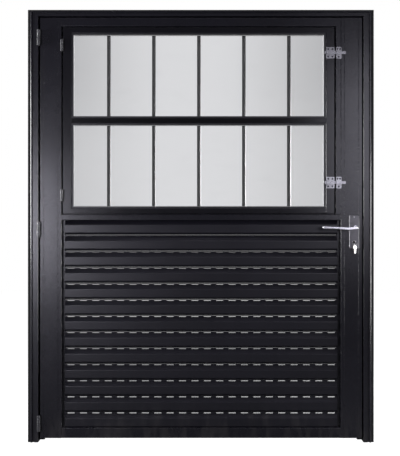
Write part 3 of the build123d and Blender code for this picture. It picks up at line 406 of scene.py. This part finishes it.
base_low, base_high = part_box("bolt_bases")
keeper_low, keeper_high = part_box("bolt_keepers")
bolt_heights = []
for bolt in ("sash_bolt_lower", "sash_bolt_upper"):
    low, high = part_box(bolt)
    bolt_heights.append((low.z + high.z) / 2)
base_inset = (base_high.x - base_low.x) / 4
keeper_inset = (keeper_high.x - keeper_low.x) / 4
keeper_middle = (keeper_low.x + keeper_high.x) / 2
base_screws = [(x, PLATE_FACE, z + end * BASE_HALF * 2 / 3)
               for z in bolt_heights for end in (-1, 1)
               for x in (base_low.x + base_inset, base_high.x - base_inset)]
keeper_screws = [(x, PLATE_FACE, z + KEEPER_HALF * 2 / 3) for z in bolt_heights
                 for x in (keeper_low.x + keeper_inset, keeper_high.x - keeper_inset)]
keeper_screws += [(keeper_middle, PLATE_FACE, z - KEEPER_HALF * 2 / 3) for z in bolt_heights]
for name, places, body, turn in (("base_screws", base_screws, "sash", 0.4),
                                 ("keeper_screws", keeper_screws, "leaf", 0.7)):
    heads = [screw_head(place, FRONT, *BOLT_HEAD, turn * i) for i, place in enumerate(places)]
    piece(name, heads, body, dark_screw)

# Screws of the lock's plates, each turned by its own height
PLATE_HEAD, LOCK_HEAD = (0.0034, 0.0009), (0.0036, 0.0006)
PLATE_INSET, FRONT_INSET, STRIKE_INSET = 0.009, 0.0093, 0.015
COUNTERSINK = 0.0004

plate_low, plate_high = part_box("handle_plate_inside")
plate_x = (plate_low.x + plate_high.x) / 2
plate_y = abs(plate_low.y)
plate_screws = [screw_head((plate_x, y, z), facing, *PLATE_HEAD, z)
                for y, facing in ((-plate_y, FRONT), (plate_y, BACK))
                for z in (plate_low.z + PLATE_INSET, plate_high.z - PLATE_INSET)]
piece("plate_screws", plate_screws, "leaf", screw_steel)
front_low, front_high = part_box("lock_faceplate")
front_screws = [screw_head((front_high.x - COUNTERSINK, 0, z), RIGHT, *LOCK_HEAD, z)
                for z in (front_low.z + FRONT_INSET, front_high.z - FRONT_INSET)]
piece("faceplate_screws", front_screws, "leaf", screw_steel)
strike_low, strike_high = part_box("strike_plate")
strike_screws = [screw_head((strike_low.x + COUNTERSINK, 0, z), LEFT, *LOCK_HEAD, z)
                 for z in (strike_low.z + STRIKE_INSET, strike_high.z - STRIKE_INSET)]
piece("strike_screws", strike_screws, "frame", screw_steel)

# Heads of the wall anchors in the jambs
ANCHOR_HEAD = (0.0072, 0.0004)
JAMB_FACE = 0.7905
JAMB_MIDDLE = 1.05

anchors = [screw_head((side * JAMB_FACE, 0, JAMB_MIDDLE + rise), (-side, 0, 0), *ANCHOR_HEAD, rise)
           for side in (-1, 1) for rise in (-0.9, -0.3, 0.3, 0.9)]
piece("anchor_heads", anchors, "frame", screw_steel)

# Rubber gasket behind each pane and pale sealant before it, along the beads
BEAD_COVER = 0.008
SEALANT_HALF, GASKET_HALF = 0.0016, 0.0011
RING_RISE = 0.0012
SEALANT_LEVEL = 0.25

gaskets, lines = [], []
for pane in ("glass_lower", "glass_upper"):
    low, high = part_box(pane)
    line = half_round(BEAD_COVER, SEALANT_HALF, low.y, -RING_RISE)
    lines.append(pane_ring(low, high, line, SEALANT_LEVEL))
    gaskets.append(pane_ring(low, high, half_round(BEAD_COVER, GASKET_HALF, high.y, RING_RISE)))
piece("pane_gaskets", gaskets, "sash", finishes["seal_rubber"], wrap=CLOSED_RING)
piece("pane_sealant", lines, "sash", sealant_with_painted_glow, wrap=CLOSED_RING)

# Weld beads at the ends of the grille bars: a half round ring, radius + out sin a and
# up (1 - cos a), whose belly ripples by 1 + 0.12 sin(quarter turns) sin a
WELD_OUT, WELD_UP = 0.0026, 0.0022
WELD_TURNS = 36
RIPPLE = 0.12

arc = np.linspace(0, pi, 8)
wave = np.sin(np.arange(WELD_TURNS) * pi / 2)
ripple = 1 + RIPPLE * wave[None, :, None] * np.sin(arc)[:, None, None]
welds = []
for i in range(5):
    low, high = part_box(f"grille_bar_{i + 1}")
    radius = (high.x - low.x) / 2
    profile = np.stack([radius + WELD_OUT * np.sin(arc), WELD_UP * (1 - np.cos(arc))], 1)
    for z, up in ((low.z, 1), (high.z, -1)):
        end = ((low.x + high.x) / 2, (low.y + high.y) / 2, z)
        ring = turned(profile, end, (0, 0, up), WELD_TURNS)
        welds.append((ring - end) * (ripple * (1, 1, 0) + (0, 0, 1)) + end)
piece("bar_welds", welds, "leaf", finishes["grille_black"], wrap=CLOSED_RING)


# Studio

# Each lamp's place, what it faces, its size and its power
COOL, NEUTRAL = (0.98, 0.96, 1.1), (1, 1, 1)
LAMPS = {
    "left_panel": ((-1.9, -3.0, 1.1), (-0.5, 0, 1.1), (1.1, 0.9), 46, COOL),
    "right_panel": ((1.68, -3.2, 1.74), (0.7, 0, 1.4), (0.9, 1.45), 18, COOL),
    "head_panel": ((0, -0.8, 3.7), (0, 0, 1.0), (2.2, 0.4), 6, COOL),
    "left_edge_panel": ((-3.2, -0.35, 1.55), (-0.8, 0, 1.3), (1.1, 1.3), 170, NEUTRAL),
    "right_edge_panel": ((3.2, -0.35, 0.95), (0.8, 0, 1.0), (1.1, 1.2), 110, NEUTRAL),
    "back_panel": ((2.3, 1.5, 1.3), (0, 0, 1.4), (1.3, 1.2), 200, NEUTRAL),
}
for name, (place, target, size, power, tint) in LAMPS.items():
    data = bpy.data.lights.new(name, "AREA")
    data.shape = "RECTANGLE"
    data.size, data.size_y = size
    data.energy = power
    data.color = tint
    made = bpy.data.objects.new(name, data)
    made.location = place
    towards = Vector(target) - Vector(place)
    made.rotation_euler = towards.to_track_quat("-Z", "Y").to_euler()
    made.visible_camera = False
    made.visible_transmission = False
    bpy.context.scene.collection.objects.link(made)

# The air is white to the camera and dim to reflections. Through the panes it is light in the
# middle, grey to either side, and light again far out and near the floor.
DIM_AIR = rgb(0.07, 0.069, 0.078)
PANE_MIDDLE, PANE_SIDE = rgb(0.75, 0.75, 0.765), rgb(0.47, 0.47, 0.48)
PANE_FOOT = rgb(0.76, 0.76, 0.775)

world = bpy.data.worlds.new("studio_air")
world.use_nodes = True
bpy.context.scene.world = world
air = Tree(world.node_tree)
sideways = air.axis("X", "Generated")
edges = abs(sideways + 0.01).ease(0.02, 0.2) * abs(sideways).ease(0.6, 0.3)
daylight = air.blend(edges, PANE_MIDDLE, PANE_SIDE)
foot = air.axis("Z", "Generated").ease(0.2, 0.07)
daylight = air.blend(foot * 0.4, daylight, PANE_FOOT)
dim = air.blend(air.ray("Is Transmission Ray"), DIM_AIR, daylight)
glow = air.blend(air.ray("Is Camera Ray"), dim, WHITE)
sky = air.node("ShaderNodeBackground", values={"Color": glow, "Strength": 1.0})
air.node("ShaderNodeOutputWorld", values={"Surface": sky})

# The floor is white to the camera and mid grey to reflections. Behind the door it dims within
# the cone that the door hides from the front, like a soft shadow, so the slots don't shine.
FLOOR_CORNERS = [(-9, -7, 0), (9, -7, 0), (9, 9, 0), (-9, 9, 0)]
MATT_LOW, MATT_HIGH = rgb(0.1, 0.1, 0.105), rgb(0.12, 0.12, 0.125)
SHADOW = rgb(0.27, 0.27, 0.275)
PANE_DIMMING = 0.26
CONE_GROWTH = 0.25

floor = bpy.data.meshes.new("studio_floor")
floor.from_pydata(FLOOR_CORNERS, [], [(0, 1, 2, 3)])
floor_object = bpy.data.objects.new("studio_floor", floor)
bpy.context.scene.collection.objects.link(floor_object)
ground = Finish("pale_floor")
through = ground.ray("Is Transmission Ray")
seen = ground.ray("Is Camera Ray").math("MAXIMUM", through)
matt_tone = ground.blend(ground.noise(1.5), MATT_LOW, MATT_HIGH)
matt = ground.node("ShaderNodeBsdfDiffuse", values={"Color": matt_tone}, out="BSDF")
spread = ground.axis("Y") * CONE_GROWTH + 1
across = (abs(ground.axis("X")) * spread ** -1).ease(0.83, 0.6)
behind = ground.axis("Y").ease(0.0, 0.6) * ground.axis("Y").ease(7.5, 2.0) * across
glimpse = ground.blend(behind, WHITE, SHADOW)
glimpse = ground.blend(through * PANE_DIMMING, glimpse, BLACK)
pale = ground.node("ShaderNodeEmission", values={"Color": glimpse, "Strength": 1.0}, out="Emission")
soft = ground.node("ShaderNodeBsdfDiffuse", values={"Color": rgb(0.12, 0.12, 0.12)}, out="BSDF")
lit = ground.node("ShaderNodeAddShader", values={0: pale, 1: soft})
mixed = ground.node("ShaderNodeMixShader", values={0: seen, 1: matt, 2: lit})
ground.node("ShaderNodeOutputMaterial", values={"Surface": mixed})
floor.materials.append(ground.material)
floor_object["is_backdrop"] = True

# The camera stands straight before the leaf's face, at the photo's scale
PHOTO_ROWS = 456
METRES_PER_PIXEL = 0.004853
LEAF_FACE = -0.028
EYE_DISTANCE = 4.0
EYE_X, EYE_HEIGHT = -0.0041, 1.0405

view = bpy.data.cameras.new("photo_view")
view.sensor_width = 36.0
view.lens = view.sensor_width * EYE_DISTANCE / (PHOTO_ROWS * METRES_PER_PIXEL)
view.clip_end = 60
camera = bpy.data.objects.new("photo_view", view)
camera.location = (EYE_X, LEAF_FACE - EYE_DISTANCE, EYE_HEIGHT)
camera.rotation_euler = (pi / 2, 0, 0)
bpy.context.scene.collection.objects.link(camera)
bpy.context.scene.camera = camera
bpy.context.scene.view_settings.view_transform = "Standard"

bpy.context.view_layer.update()
low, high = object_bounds()
